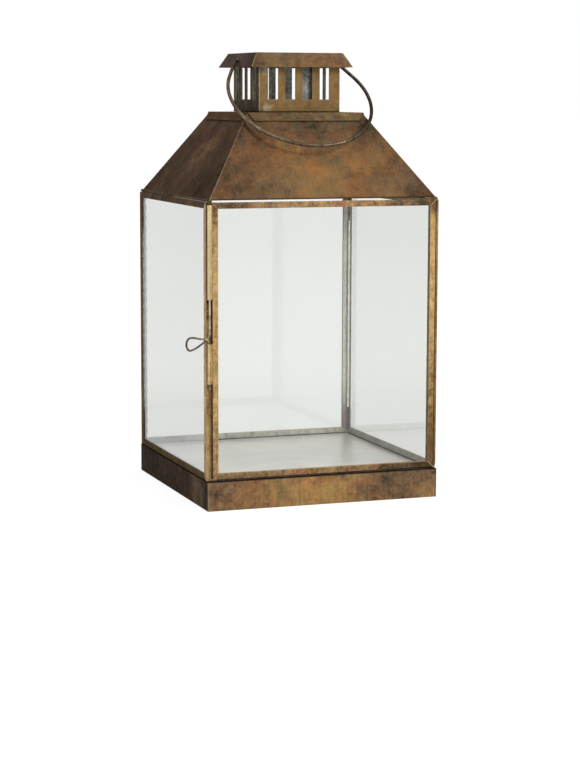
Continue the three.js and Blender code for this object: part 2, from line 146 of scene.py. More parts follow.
def noise_layers(tree, place, seed, cloud, stroke):
    """The place, moved by the seed, and six noises there: clouds, the mottle in them, strokes,
    speckle, and two that say where the bath turned the brass red and olive."""
    shift = {0: place["Object"], 1: (seed, 2 * seed, 0)}
    shifted = add(tree, "ShaderNodeVectorMath", shift, operation="ADD")
    stretch = [1 / width if width else 0 for width in stroke]
    along = add(tree, "ShaderNodeMapping", {"Vector": shifted, "Scale": stretch})
    layers = []
    for vector, size, detail, roughness, warp in (
        (shifted, cloud, 6, 0.62, 0.7),
        (shifted, cloud / 5, 5, 0.6, 0.3),
        (along, 1.0, 3, 0.5, 0.0),
        (shifted, SPECKLE, 4, 0.7, 0.4),
        (shifted, 1.1 * cloud, 6, 0.72, 0.5),
        (shifted, 0.7 * cloud, 6, 0.72, 0.3),
    ):
        noise = {"Vector": vector, "Scale": 1 / size, "Detail": detail, "Roughness": roughness}
        layers.append(add(tree, "ShaderNodeTexNoise", {**noise, "Distortion": warp}))
    return shifted, layers


def fade(tree, place, centre, radius, in_middle, outside):
    """A soft round spot: one value in its middle, and another from its radius on, in mm."""
    gap = {0: place["Object"], 1: [c * MM for c in centre]}
    away = add(tree, "ShaderNodeVectorMath", gap, operation="DISTANCE").outputs["Value"]
    fading = {"Value": away, "From Max": radius * MM, "To Min": in_middle, "To Max": outside}
    return add(tree, "ShaderNodeMapRange", fading, interpolation_type="SMOOTHSTEP")


def off_axis(tree, place):
    """How far out a point is on the lantern's square plan: the larger of |x| and |y|."""
    across = add(tree, "ShaderNodeVectorMath", {0: place["Object"]}, operation="ABSOLUTE")
    across = add(tree, "ShaderNodeSeparateXYZ", {0: across}).outputs
    return add(tree, "ShaderNodeMath", {0: across["X"], 1: across["Y"]}, operation="MAXIMUM")


print("a stroke is", round(ANY_STROKE[2] / ANY_STROKE[0]), "times as long as wide")

# %% [markdown]
# ## What lies over the patina
#
# Olive blots gather towards the top of the front slope, where the bath ran off last. The sides
# of the sheets that face the candle are tinned or sooty. A material can tell them by the normal,
# which points to the lantern's axis there. The slot of a rear stile faces sideways, so for that
# stile all that is nearer to the axis than its outer wall counts as inside too.

# %% Blots and lining
BLOT = 5 * MM
BLOT_BOUNDS = (0.52, 0.59)
FEWER, MORE = -0.1, 0.03
SOOT = 0.85
FACES_IN = (-0.01, -0.02)
WALL_EDGE = 0.2 * MM


def blotted(tree, colour, shifted, height, blot_tone, foot, top):
    """Blots of a tone over a colour, few at the height foot and many at the height top."""
    more = {"Value": height, "From Min": foot, "From Max": top, "To Min": FEWER, "To Max": MORE}
    blots = {"Vector": shifted, "Scale": 1 / BLOT, "Detail": 6, "Roughness": 0.7}
    blots = add(tree, "ShaderNodeTexNoise", {**blots, "Distortion": 0.8})
    blots = {0: add(tree, "ShaderNodeMapRange", more), 1: blots}
    blots = add(tree, "ShaderNodeMath", blots, operation="ADD")
    return lay_over(tree, colour, linear(blot_tone), blots, *BLOT_BOUNDS, 0.7)


def lined(tree, colour, place, height, lining, soot, deep):
    """Another colour, with soot on it, on the faces that look to the axis and on all that lies
    nearer to the axis than deep."""
    for soot_tone, edge_height, reach in soot:
        bounds = ((edge_height - reach) * MM, (edge_height + reach) * MM)
        lining = lay_over(tree, lining, linear(soot_tone), height, *bounds, SOOT)
    outward = {0: place["Normal"], 1: place["Object"]}
    outward = add(tree, "ShaderNodeVectorMath", outward, operation="DOT_PRODUCT")
    colour = lay_over(tree, colour, lining, outward.outputs["Value"], *FACES_IN)
    if deep:
        bounds = (deep + WALL_EDGE, deep - WALL_EDGE)
        colour = lay_over(tree, colour, lining, off_axis(tree, place), *bounds)
    return colour


print("blots of about", BLOT / MM, "mm")

# %% [markdown]
# ## The finish as a whole
#
# The sum of the noises and spots is a tone, and a colour ramp turns it into colours from dark to
# gold. Red and olive tint that, and then come blots, the tones of faces that look to -X, which
# paint the shade or the light of that side, lining and smears of solder.
#
# The fold of a channel is round, and so is the edge of a cut sheet that has been handled. The
# Bevel node bends the normal near an edge as such a rounding would, which gives each edge its
# thin light or dark line. Where that normal differs from the true one, the edge gets a lighter
# colour: partly wear, and partly a painted highlight along the edge.
# Along some seams and gaps a near black band of dirt and painted shade hides the metal altogether.

# %% The patina
TONE_SPAN = 0.38
TINT_BOUNDS = (0.48, 0.62)
TINT = 0.65
# tones for faces that look to -X come in here: painted shade or painted light for that side
LEFT_SHADING_BOUNDS = (-0.2, -0.5)
SMEARED_SOLDER = "#b9b29c"
SMEAR_BOUNDS = (0.6, 1.0)
# lighter edges where the bevel normal turns away: edge wear and a painted highlight
EDGE_WEAR_AND_HIGHLIGHT_BOUNDS = (1.01, 0.93)
# a near black band along seams and gaps: dirt and painted shade
DIRT_AND_SHADE = "#1a130e"
DENT = 0.12 * MM


def aged_brass(
    name,
    tones,
    seed,
    red="#8a5a3c",
    olive="#6f6840",
    cloud=26 * MM,
    contrast=1.0,
    stroke=ANY_STROKE,
    streaks=0.35,
    rough=(0.4, 0.58),
    metallic=0.5,
    edge=0.5 * MM,
    edge_wear_and_highlight="#c8a468",
    left=None,
    inside=None,
    deep=None,
    rubbed=(),
    wiped=(),
    soot=(),
    stained=None,
    dirt_and_shade_band=None,
):
    """Patina from dark to gold through the tones, for sheet that was rubbed by hand.

    left and inside are the tones of faces that look to -X, or towards the lantern's axis, and
    inside holds too for all that lies nearer to the axis than deep. The tones for -X are painted
    shade where they are darker than the rest, and painted light where they are lighter.
    rubbed is (place, radius, change of tone) for each spot, in mm: mostly wear, but a few spots
    are painted shade or a painted highlight. wiped is (place, radius) where solder was smeared, in
    mm.
    soot is (tone, height, reach) for the inside: it sets in at that height in mm, over twice the
    reach, upwards, or downwards where the reach is negative.
    stained is (tone, foot, top): blots of that tone, few at the foot and many at the top.
    settled is two heights, from where the dark band along a seam is none to where it is full:
    dirt, and painted shade in the seam or gap."""
    material, tree = new_material(name)
    place = add(tree, "ShaderNodeTexCoord").outputs
    height = add(tree, "ShaderNodeSeparateXYZ", {0: place["Object"]}).outputs["Z"]
    shifted, layers = noise_layers(tree, place, seed, cloud, stroke)
    clouds, mottle, strokes, speckle, reddening, greening = layers

    weighed = ((clouds, 1.05), (mottle, 0.75), (strokes, streaks), (speckle, 0.75))
    tone = -sum(weight for _, weight in weighed) / 2
    for layer, weight in weighed:
        total = {0: layer, 1: weight, 2: tone}
        tone = add(tree, "ShaderNodeMath", total, operation="MULTIPLY_ADD")
    tone = add(tree, "ShaderNodeMath", {0: tone, 1: contrast}, operation="MULTIPLY")
    # spots of wear; a few of them are painted shade, and one a painted highlight
    for centre, radius, change in rubbed:
        total = {0: tone, 1: fade(tree, place, centre, radius, change, 0.0)}
        tone = add(tree, "ShaderNodeMath", total, operation="ADD")
    span = {"Value": tone, "From Min": -TONE_SPAN, "From Max": TONE_SPAN}
    factor = add(tree, "ShaderNodeMapRange", span)

    colour = add(tree, "ShaderNodeValToRGB", {"Fac": factor}, stops=tones)
    middle = np.mean([linear(shade) for shade in tones], axis=0)
    for tint, layer in ((red, reddening), (olive, greening)):
        tint = (np.array(linear(tint)) / middle).tolist()
        colour = lay_over(tree, colour, tint, layer, *TINT_BOUNDS, TINT, "MULTIPLY")
    if stained:
        colour = blotted(tree, colour, shifted, height, *stained)
    # faces that look to -X take their own tones: painted shade, or painted light where those are
    # lighter
    if left:
        across = add(tree, "ShaderNodeSeparateXYZ", {0: place["Normal"]}).outputs["X"]
        dark = add(tree, "ShaderNodeValToRGB", {"Fac": factor}, stops=left)
        colour = lay_over(tree, colour, dark, across, *LEFT_SHADING_BOUNDS)
    if inside:
        lining = add(tree, "ShaderNodeValToRGB", {"Fac": factor}, stops=inside)
        colour = lined(tree, colour, place, height, lining, soot, deep)
    for centre, radius in wiped:
        smear = {0: fade(tree, place, centre, radius, 0.45, -0.1), 1: mottle}
        smear = add(tree, "ShaderNodeMath", smear, operation="ADD")
        colour = lay_over(tree, colour, linear(SMEARED_SOLDER), smear, *SMEAR_BOUNDS, 0.4)

    grain = {"Height": mottle, "Strength": 0.2, "Distance": DENT}
    # a lighter colour at the edges: edge wear and a painted highlight
    if edge:
        rounded = add(tree, "ShaderNodeBevel", {"Radius": edge}, samples=6)
        flat = add(tree, "ShaderNodeNewGeometry").outputs["Normal"]
        pair = {0: rounded, 1: flat}
        agree = add(tree, "ShaderNodeVectorMath", pair, operation="DOT_PRODUCT").outputs["Value"]
        patchy = {0: mottle, 1: 0.1, 2: agree}
        patchy = add(tree, "ShaderNodeMath", patchy, operation="MULTIPLY_ADD")
        colour = lay_over(tree, colour, linear(edge_wear_and_highlight), patchy, *EDGE_WEAR_AND_HIGHLIGHT_BOUNDS, 0.7)
        grain["Normal"] = rounded
    # a near black band without metal along a seam: dirt and painted shade
    if dirt_and_shade_band:
        colour = lay_over(tree, colour, linear(DIRT_AND_SHADE), height, *dirt_and_shade_band, 0.95)
        bare = {"From Min": dirt_and_shade_band[0], "From Max": dirt_and_shade_band[1], "To Min": metallic, "To Max": 0.0}
        metallic = add(tree, "ShaderNodeMapRange", {"Value": height, **bare})
    spread = {"Value": mottle, "From Min": 0.3, "From Max": 0.7}
    spread |= {"To Min": rough[1], "To Max": rough[0]}
    shading = {
        "Base Color": colour,
        "Metallic": metallic,
        "Roughness": add(tree, "ShaderNodeMapRange", spread),
        "Specular IOR Level": 0.0,
        "Specular Tint": linear("#bcb6aa"),
        "Normal": add(tree, "ShaderNodeBump", grain),
    }
    shader = add(tree, "ShaderNodeBsdfPrincipled", shading)
    add(tree, "ShaderNodeOutputMaterial", {"Surface": shader})
    return material


print("the ramp spans tones from", -TONE_SPAN, "to", TONE_SPAN)

# %% [markdown]
# ## Roof and plinth
#
# Each kind of piece was finished apart from the others, so each has its own tones. Sheets that
# look to the left are given almost black-brown tones: partly patina, and partly painted shade of
# the side that the lamps leave dark. The roof and the plinth are the largest sheets, so their
# clouds are wide, and spots place the orange in the middle of the front slope and the darker tone
# along its edges, and paint the shade that falls under the bail and below the crown.

# %% The roof and plinth
# almost black-brown: patina, and painted shade of the sheets and faces on the left
SHADED_SIDE_TONES = ["#2d241f", "#483930", "#5e493c", "#7e664d"]

# brown sheet, rubbed to orange, with olive blots towards its top
roof_front_brass = aged_brass(
    "aged brass, roof front",
    ["#32251c", "#5d4430", "#775939", "#8f6339"],
    0.31,
    red="#7a5231",
    olive="#614f37",
    cloud=52 * MM,
    contrast=0.7,
    stroke=FRONT_STROKE,
    streaks=0.3,
    # the dark spots high up at both sides and in the middle are painted shade under the bail and
    # below the crown
    rubbed=(
        ((5, -85, 268), 55, 0.12),
        ((-60, -60, 305), 45, -0.2),
        ((-75, -85, 272), 40, -0.12),
        ((55, -55, 310), 45, -0.25),
        ((-75, -92, 256), 35, -0.1),
        ((88, -92, 256), 35, -0.25),
        ((0, -55, 316), 35, -0.25),
    ),
    stained=("#4c4a38", 262 * MM, 312 * MM),
    # a near black line along the eave: dirt and painted shade
    dirt_and_shade_band=(251.6 * MM, 250 * MM),
    left=SHADED_SIDE_TONES,
)
# black-brown sheet with long, faint strokes: patina, and painted shade of the side slopes, with a
# dark band of dirt and painted shade along the eave
roof_side_brass = aged_brass(
    "aged brass, roof side",
    SHADED_SIDE_TONES,
    0.52,
    red="#4d3532",
    olive="#433c34",
    cloud=40 * MM,
    contrast=0.7,
    stroke=SIDE_STROKE,
    streaks=0.25,
    edge_wear_and_highlight="#7a6858",
    rubbed=(((-72, 0, 288), 45, 0.25), ((-98, -60, 255), 50, -0.1)),
    dirt_and_shade_band=(250.8 * MM, 250 * MM),
)
# brown and gold in wide clouds; black-brown where it looks left, as painted shade, and a dark
# band of dirt and painted shade along its top edge
plinth_brass = aged_brass(
    "aged brass, plinth",
    ["#382d23", "#6d5642", "#95754b", "#b49054"],
    0.13,
    red="#8b5e3d",
    olive="#74673f",
    cloud=28 * MM,
    contrast=0.75,
    streaks=0.4,
    edge_wear_and_highlight="#a98a58",
    left=["#1c191a", "#2f2828", "#413732", "#635447"],
    rubbed=(((-20, -100, 12), 50, 0.15), ((-98, -100, 14), 14, -0.2), ((75, -100, 12), 45, -0.05),
        ((-100, -72, 14), 38, 0.35), ((-100, 60, 12), 60, -0.1)),
    dirt_and_shade_band=(23 * MM, 23.9 * MM),
)
print(len(bpy.data.materials), "finishes so far")

# %% [markdown]
# ## Door and front corner
#
# The channel of the door and of the corner beside it is touched most, so it is rubbed to pale
# gold, and its folds are the brightest lines of all: worn, and with a painted highlight on them.
# Spots keep it browner towards the foot and in the corners, where a cloth doesn't reach.

# %% The channel in front
# almost bare, the palest of the corners; a little darker where it looks left, as painted shade
channel_brass = aged_brass(
    "rubbed brass, corner",
    ["#98805c", "#bf9f74", "#d8b883", "#edd4a5"],
    0.05,
    red="#b38861",
    olive="#938a61",
    cloud=13 * MM,
    edge=0.7 * MM,
    edge_wear_and_highlight="#e0c892",
    left=["#8c7a64", "#ae9676", "#c9ae8e", "#dfcbaf"],
    rubbed=(((-98, -100, 20), 80, -0.3),),
)
# behind the latch: dark at the top and on its front face, gold towards the foot: dirt and painted
# shade of the recess and the gap above the sleeve; its faces to the left are lighter, as painted
# light
recess_brass = aged_brass(
    "aged brass, recess",
    ["#24190f", "#4a3722", "#93784f", "#bc9d6c"],
    0.15,
    cloud=10 * MM,
    edge=0.4 * MM,
    edge_wear_and_highlight="#8a6e48",
    left=["#80694a", "#a08258", "#b8966a", "#cdb084"],
    rubbed=(((-98, -96, 45), 85, 0.35), ((-98, -96, 150), 40, 0.08), ((-98, -96, 215), 60, -0.3)),
)
# pale gold in small clouds, browner in the corners, and dark where it looks left, as painted shade
door_brass = aged_brass(
    "rubbed brass, door",
    ["#6e5034", "#9b7c52", "#bc9a68", "#ceae78", "#ddc28e"],
    0.05,
    red="#a77e59",
    olive="#898059",
    cloud=13 * MM,
    contrast=0.8,
    edge=0.7 * MM,
    edge_wear_and_highlight="#e0c892",
    left=["#34291c", "#473925", "#5a4930", "#6e5a3e"],
    rubbed=(
        ((-94, -100, 30), 90, -0.2),
        ((-94, -100, 246), 42, -0.3),
        ((95, -100, 30), 120, -0.4),
        ((97, -100, 247), 18, -0.45),
    ),
)
# browner than the stiles, and darkest at both ends
rail_brass = aged_brass(
    "aged brass, rail",
    ["#504331", "#7e664b", "#a4835c", "#c2a16c"],
    0.92,
    cloud=13 * MM,
    edge=0.7 * MM,
    edge_wear_and_highlight="#c9b184",
    rubbed=(
        ((95, -100, 25), 90, -0.45),
        ((-60, -100, 26), 60, -0.1),
        ((-88, -100, 248), 36, -0.4),
        ((85, -100, 247), 45, -0.3),
    ),
)
print(len(bpy.data.materials), "finishes so far")

# %% [markdown]
# ## Side and rear channel
#
# The channel of the left panel is dark: partly from the bath, and partly painted shade of the left
# side. The same finish paints the shade in the gaps beside and under the door. That of the back
# and right panels is seen from inside, through the glass: it is tinned there, and a candle's soot
# has darkened it at the foot and the top.

# %% The channel behind
# dark brown with an olive tinge: patina, and painted shade
left_channel_shaded_brass = aged_brass(
    "aged brass, left channel",
    ["#30261d", "#4c3d2e", "#634f39", "#7e6a49"],
    0.47,
    olive="#4d4d45",
    red="#5a4745",
    cloud=24 * MM,
    edge=0.7 * MM,
    edge_wear_and_highlight="#8f8675",
)
# light grey with brown clouds where the tin has worn, and painted shade in the rear left corner
tinned_rail = aged_brass(
    "tinned brass, rail",
    ["#453626", "#6b5339", "#8c6c46", "#a98654"],
    0.71,
    cloud=30 * MM,
    contrast=0.7,
    edge_wear_and_highlight="#d6d2c2",
    metallic=0.3,
    # a dark spot at the foot of the rear left corner: painted shade
    rubbed=(((-96, 96, 32), 75, -0.5),),
    inside=["#453d34", "#8f8a7b", "#b0ac9f", "#c2bfb4", "#d0cec4"],
)
# brighter grey, with soot below and above
tinned_stile = aged_brass(
    "tinned brass, stile",
    ["#453626", "#6b5339", "#8c6c46", "#a98654"],
    0.24,
    contrast=0.7,
    edge_wear_and_highlight="#d6d2c2",
    metallic=0.3,
    inside=["#959385", "#b8b8aa", "#d0d0c3", "#eae9dd"],
    soot=(("#6a5e55", 54, -12), ("#83776e", 214, 14)),
)
# fine dark specks in grey, with nearly black soot
speckled_stile = aged_brass(
    "tinned brass, rear left stile",
    ["#31261a", "#4c3d2a", "#635036", "#7e6846"],
    0.29,
    cloud=9 * MM,
    edge_wear_and_highlight="#8f7a54",
    metallic=0.3,
    inside=["#5e5e52", "#96988c", "#b4b6aa", "#d4d5ca"],
    deep=98.4 * MM,
    soot=(("#46382b", 62, -8), ("#46382b", 214, 6)),
)
print(len(bpy.data.materials), "finishes so far")

# %% [markdown]
# ## Crown, chimney and cap
#
# The crown is a plain brown sheet. The chimney is more even than the roof and more golden, with
# smears of solder beside its slots, and its inside is a sooty grey. The cap is redder.

# %% The top of the lantern
# dull brown, with hardly a stroke, and black-brown where it looks left, as painted shade
crown_brass = aged_brass(
    "aged brass, crown",
    ["#352b22", "#52412f", "#68533a", "#7e6540"],
    0.35,
    red="#624936",
    contrast=0.7,
    stroke=FRONT_STROKE,
    streaks=0.2,
    edge=0.35 * MM,
    edge_wear_and_highlight="#8a7048",
    left=SHADED_SIDE_TONES,
)
# even olive gold outside, grey inside, darker where it looks left as painted shade, and with a
# dark band of dirt and painted shade at its foot
chimney_brass = aged_brass(
    "aged brass, chimney",
    ["#55422c", "#735b3e", "#826740", "#977a4e"],
    0.66,
    red="#7f5f3a",
    olive="#736542",
    cloud=18 * MM,
    contrast=0.8,
    edge_wear_and_highlight="#c0a676",
    left=["#2c2724", "#433c35", "#584f46", "#7a6d61"],
    inside=["#44443c", "#75766c", "#aeafa5", "#dcdcd4"],
    rubbed=(((29, 31, 341), 18, 0.24),),
    wiped=(((-30, -36, 354), 9), ((-10, -36, 355), 7), ((-28, -36, 322), 9), ((5, -36, 355), 6)),
    dirt_and_shade_band=(320.2 * MM, 319 * MM),
)
# red-brown, darker on its left slope as painted shade
cap_brass = aged_brass(
    "aged brass, cap",
    ["#392d26", "#574532", "#6c543a", "#7f6241"],
    0.21,
    red="#7c583f",
    olive="#695a3f",
    contrast=0.8,
    cloud=32 * MM,
    rubbed=(((-42, -44, 362), 24, -0.25), ((10, -44, 364), 20, 0.12)),
    edge_wear_and_highlight="#a08058",
    left=["#342e2c", "#4c3f3c", "#60524c", "#756155"],
)
print(len(bpy.data.materials), "finishes so far")

# %% [markdown]
# ## Tubes and wires
#
# Drawn tube and wire are smoother than sheet, so they have a lower roughness and sharper lights.
# They are round, so they need no bevel. The bolt is polished by the finger that moves it, and its
# strand above the loop has a painted highlight. The sleeves get lighter tones on their left sides
# as a painted highlight, and the bail has tarnished.

# %% The tubes and wires
# pale gold, with lighter tones on its left side as a painted highlight
sleeve_brass = aged_brass(
    "rubbed brass, sleeve",
    ["#a58956", "#bba06f", "#c8b07e", "#d3be92"],
    0.41,
    red="#bd9568",
    olive="#a09564",
    left=["#c8ae7d", "#dbc497", "#e2cfa8", "#e8d9bc"],
    cloud=14 * MM,
    edge=None,
    rough=(0.3, 0.42),
    metallic=0.4,
)
# a deeper gold, rubbed by the loop, with lighter tones on its left side as a painted highlight
lower_sleeve_brass = aged_brass(
    "rubbed brass, lower sleeve",
    ["#8a6234", "#a87c46", "#c29a62", "#d8b47c"],
    0.18,
    red="#a8703a",
    olive="#9a8a54",
    left=["#b49a68", "#cfb688", "#e0caa0", "#f0deb8"],
    cloud=10 * MM,
    edge=None,
    rough=(0.3, 0.42),
    metallic=0.4,
)
# olive brown, dark at its upper end
hinge_brass = aged_brass(
    "aged brass, hinge",
    ["#574829", "#78623a", "#8f7646", "#aa8c55"],
    0.77,
    red="#856242",
    olive="#757142",
    cloud=16 * MM,
    rubbed=(((97, -99, 230), 70, 0.1), ((98, -99, 248), 16, -0.5), ((97, -99, 40), 60, -0.2)),
    edge=None,
    rough=(0.34, 0.48),
)
# brown with a dull gleam, palest at the left bend
dark_wire = aged_brass(
    "tarnished brass wire",
    ["#342d26", "#4b4238", "#665a48", "#877a62"],
    0.83,
    red="#5c4a3c",
    olive="#55503e",
    cloud=12 * MM,
    rubbed=(((62, -55, 325), 50, -0.4), ((-45, -75, 295), 50, 0.25)),
    edge=None,
    rough=(0.34, 0.48),
    metallic=0.75,
)
# grey gold, with a painted highlight above the loop, and darker at the loop
bolt_wire_metal = aged_brass(
    "brass wire, polished by the finger",
    ["#4e4737", "#6f6753", "#958a71", "#c0b595"],
    0.57,
    red="#84705a",
    olive="#6e6a58",
    cloud=8 * MM,
    # a painted highlight on the strand above the loop, and a darker loop
    rubbed=(((-96, -98, 160), 36, 0.45), ((-116, -98, 137), 18, -0.35)),
    edge=None,
    rough=(0.2, 0.36),
    metallic=0.8,
)
print(len(bpy.data.materials), "finishes so far")

# %% [markdown]
# ## Tinned floor
#
# The floor inside the box is sheet that was tinned, so that wax lifts off it: a dull silver with
# faint brushed lines from side to side. It mirrors the rear post as a soft streak, which needs a
# low roughness across a metal. A wide, cloudy brown band along the walls is a painted reflection
# of the brown walls and painted shade near them. The tinning stops under the glass, and the rim
# outside is dark: untinned brass, and painted shade in the gap under the door.

# %% The tinned sheet
LINE_LENGTH, LINE_WIDTH = 60 * MM, 1.2 * MM
PATCH = 40 * MM
# a cloudy brown band along the walls: painted reflection of the walls and painted shade
WALL_REFLECTION_AND_SHADE, WALL_REFLECTION_AND_SHADE_BOUNDS = "#a0927a", (100 * MM, 130 * MM)
WALL_REFLECTION_AND_SHADE_WANDERS = 50 * MM
# the untinned rim, dark also as painted shade of the gap under the door
UNTINNED_AND_SHADED, RIM = "#3a3027", 0.4 * MM


def tinned_sheet(name, half_width):
    """Silver grey metal with faint lines along X, and dark brass further than half_width out."""
    material, tree = new_material(name)
    place = add(tree, "ShaderNodeTexCoord").outputs
    brushing = {"Vector": place["Object"], "Scale": (1 / LINE_LENGTH, 1 / LINE_WIDTH, 1)}
    brushing = add(tree, "ShaderNodeMapping", brushing)
    lines = {"Vector": brushing, "Scale": 1.0, "Detail": 4, "Roughness": 0.6}
    lines = add(tree, "ShaderNodeTexNoise", lines)
    clouds = {"Vector": place["Object"], "Scale": 1 / PATCH, "Detail": 5, "Distortion": 0.4}
    clouds = add(tree, "ShaderNodeTexNoise", clouds)
    tone = add(tree, "ShaderNodeMath", {0: lines, 1: clouds}, operation="ADD")
    tone = add(tree, "ShaderNodeMapRange", {"Value": tone, "From Min": 0.7, "From Max": 1.3})
    silver = ["#dedcd6", "#ebe9e4", "#f8f7f3"]
    colour = add(tree, "ShaderNodeValToRGB", {"Fac": tone}, stops=silver)
    out = off_axis(tree, place)
    # the brown band near the walls: painted reflection and painted shade
    wall_reflection_and_shade = {0: clouds, 1: WALL_REFLECTION_AND_SHADE_WANDERS, 2: out}
    wall_reflection_and_shade = add(tree, "ShaderNodeMath", wall_reflection_and_shade, operation="MULTIPLY_ADD")
    colour = lay_over(tree, colour, linear(WALL_REFLECTION_AND_SHADE), wall_reflection_and_shade, *WALL_REFLECTION_AND_SHADE_BOUNDS, 0.5)
    # the dark rim: untinned brass, and painted shade in the gap under the door
    colour = lay_over(tree, colour, linear(UNTINNED_AND_SHADED), out, half_width, half_width + RIM)
    shine = {"Value": lines, "From Min": 0.3, "From Max": 0.7, "To Min": 0.3, "To Max": 0.36}
    metal = {"From Min": half_width, "From Max": half_width + RIM, "To Min": 0.7, "To Max": 0.0}
    shading = {
        "Base Color": colour,
        "Roughness": add(tree, "ShaderNodeMapRange", shine),
        "Metallic": add(tree, "ShaderNodeMapRange", {"Value": out, **metal}),
        "Specular IOR Level": 0.0,
    }
    shader = add(tree, "ShaderNodeBsdfPrincipled", shading)
    add(tree, "ShaderNodeOutputMaterial", {"Surface": shader})
    return material


tin = tinned_sheet("tinned sheet, brushed", 95.0 * MM)
print(tin.name, "in patches of", PATCH / MM, "mm")

# %% [markdown]
# ## Solder
#
# Soft solder is tin and lead. It is bright where it ran, dull where it was wiped while hot, and
# as brown as the sheet where it was filed flush and went through the bath with it. In the rear
# corners, soot from the candle colours it brown at both ends.

# %% The solders
# tone, height and reach of the soot at the foot and at the top
SOOT_BANDS = (("#30251b", 62 * MM, -12 * MM), ("#46372a", 214 * MM, 5 * MM))


def soft_solder(name, tones, size, sooty=False):
    """Dull metal with tarnish in patches of a size, and brown at its foot and top if sooty."""
    material, tree = new_material(name)
    place = add(tree, "ShaderNodeTexCoord").outputs["Object"]
    patches = {"Vector": place, "Scale": 1 / size, "Detail": 5, "Roughness": 0.65}
    patches = add(tree, "ShaderNodeTexNoise", patches)
    tone = add(tree, "ShaderNodeMapRange", {"Value": patches, "From Min": 0.35, "From Max": 0.65})
    colour = add(tree, "ShaderNodeValToRGB", {"Fac": tone}, stops=tones)
    if sooty:
        height = add(tree, "ShaderNodeSeparateXYZ", {0: place}).outputs["Z"]
        for soot_tone, edge_height, reach in SOOT_BANDS:
            bounds = (edge_height - reach, edge_height + reach)
            colour = lay_over(tree, colour, linear(soot_tone), height, *bounds)
    shading = {"Base Color": colour, "Roughness": 0.42, "Metallic": 0.6}
    shader = add(tree, "ShaderNodeBsdfPrincipled", shading)
    add(tree, "ShaderNodeOutputMaterial", {"Surface": shader})
    return material


# an olive grey line down the plinth corner and along the hips
bright_solder = soft_solder("soft solder, wiped", ["#544e3f", "#797462", "#948e7a"], 4 * MM)
# a thin gold line, hardly lighter than the brass beside it
filed_solder = soft_solder("soft solder, filed flush", ["#7d6a48", "#98845c", "#b09c74"], 3 * MM)
# a pale grey strip beside the rear left stile
lip_tones = ["#8b887c", "#aeaca0", "#cfcdc2"]
lip_solder = soft_solder("soft solder, dull", lip_tones, 5 * MM, sooty=True)
# a mid grey fillet in the rear corners
fillet_tones = ["#5c5a50", "#78776e", "#8f8e86"]
dull_solder = soft_solder("soft solder, tarnished", fillet_tones, 5 * MM, sooty=True)
# a white line down the rear right corner: solder coloured nearly white as a painted highlight
painted_highlight_solder = soft_solder("soft solder, bright", ["#eceae2", "#f6f5f0", "#ffffff"], 6 * MM)
print("solders from", filed_solder.name, "to", painted_highlight_solder.name)

# %% [markdown]
# ## Window glass
#
# The panes are ordinary float glass. A little iron in it takes some red and blue out of the
# light, so two panes in a row look faintly grey and green. The left and right panes are the same
# glass, but get greyer tints as painted shade for their sides. The surface is polished, so the
# roughness is zero. A path tracer finds a lamp by a straight line and counts glass on the way as
# a wall, so for such a shadow ray the pane is made transparent, and the lamps light the inside.

# %% The panes


def window_glass(name, tint):
    """Clear glass: full transmission, no roughness, index of refraction 1.5, and open to lamps."""
    material, tree = new_material(name)
    shading = {"Base Color": linear(tint), "Roughness": 0.0, "IOR": 1.5}
    shading["Transmission Weight"] = 1.0
    shader = add(tree, "ShaderNodeBsdfPrincipled", shading)
    to_lamp = add(tree, "ShaderNodeLightPath").outputs["Is Shadow Ray"]
    open_pane = add(tree, "ShaderNodeBsdfTransparent", {"Color": linear(tint)})
    shader = add(tree, "ShaderNodeMixShader", {0: to_lamp, 1: shader, 2: open_pane})
    add(tree, "ShaderNodeOutputMaterial", {"Surface": shader})
    return material


# nearly colourless, for the door and the back
clear_glass = window_glass("float glass, clear", "#ecedeb")
# the greyest tint, for the left pane: painted shade
left_glass = window_glass("float glass, left pane", "#d5d7d6")
# between the two, for the right pane: painted shade as well
right_glass = window_glass("float glass, right pane", "#e5e6e4")
print("three tints of glass, the darkest", left_glass.name)

# %% [markdown]
# ## Dressing the CAD sheets
#
# Most pieces are flat sheet or folded channel, and the CAD solids already have their real shape.
# They only need a finish.

# %% Finishes for the flat pieces
FINISH = {
    "plinth_skirt": plinth_brass,
    "bottom_plate": plinth_brass,
    "floor_plate": tin,
    "roof_front": roof_front_brass,
    "roof_back": roof_front_brass,
    "roof_left": roof_side_brass,
    "roof_right": roof_side_brass,
    "crown_plate": crown_brass,
    "left_glass": left_glass,
    "right_glass": right_glass,
    "chimney_cap": cap_brass,
    "eave_strip_left": left_channel_shaded_brass,
    "left_front_stile": channel_brass,
    "left_rear_stile": speckled_stile,
    # the recess finish and the dark left channel finish on the stops and the sill are partly
    # painted shade in the gaps round the door
    "door_stop_left": recess_brass,
    "door_stop_right": left_channel_shaded_brass,
    "door_sill": left_channel_shaded_brass,
}


def finish_for(name):
    """The material of a CAD node, by the piece that it is."""
    starts = {
        "chimney": chimney_brass,
        "eave_strip": tinned_rail,
        "left_": left_channel_shaded_brass,
    }
    if name in FINISH:
        return FINISH[name]
    if name.endswith("_glass"):
        return clear_glass
    for start, material in starts.items():
        if name.startswith(start):
            return material
    if name.startswith(("back_", "right_")):
        return tinned_rail if name.endswith("_rail") else tinned_stile
    return rail_brass if name.endswith("_rail") else door_brass


for name, node in nodes.items():
    node.data.materials.clear()
    node.data.materials.append(finish_for(name))
print("dressed", len(nodes), "nodes")

# %% [markdown]
# ## Surfaces from arrays
#
# A wire, a tube or a run of solder is a circle carried along a path. On a grid of positions along
# the path and angles round it, every vertex comes from one formula, so numpy works them all out
# at once.

# %% Grids, sweeps and paths
AROUND = 20


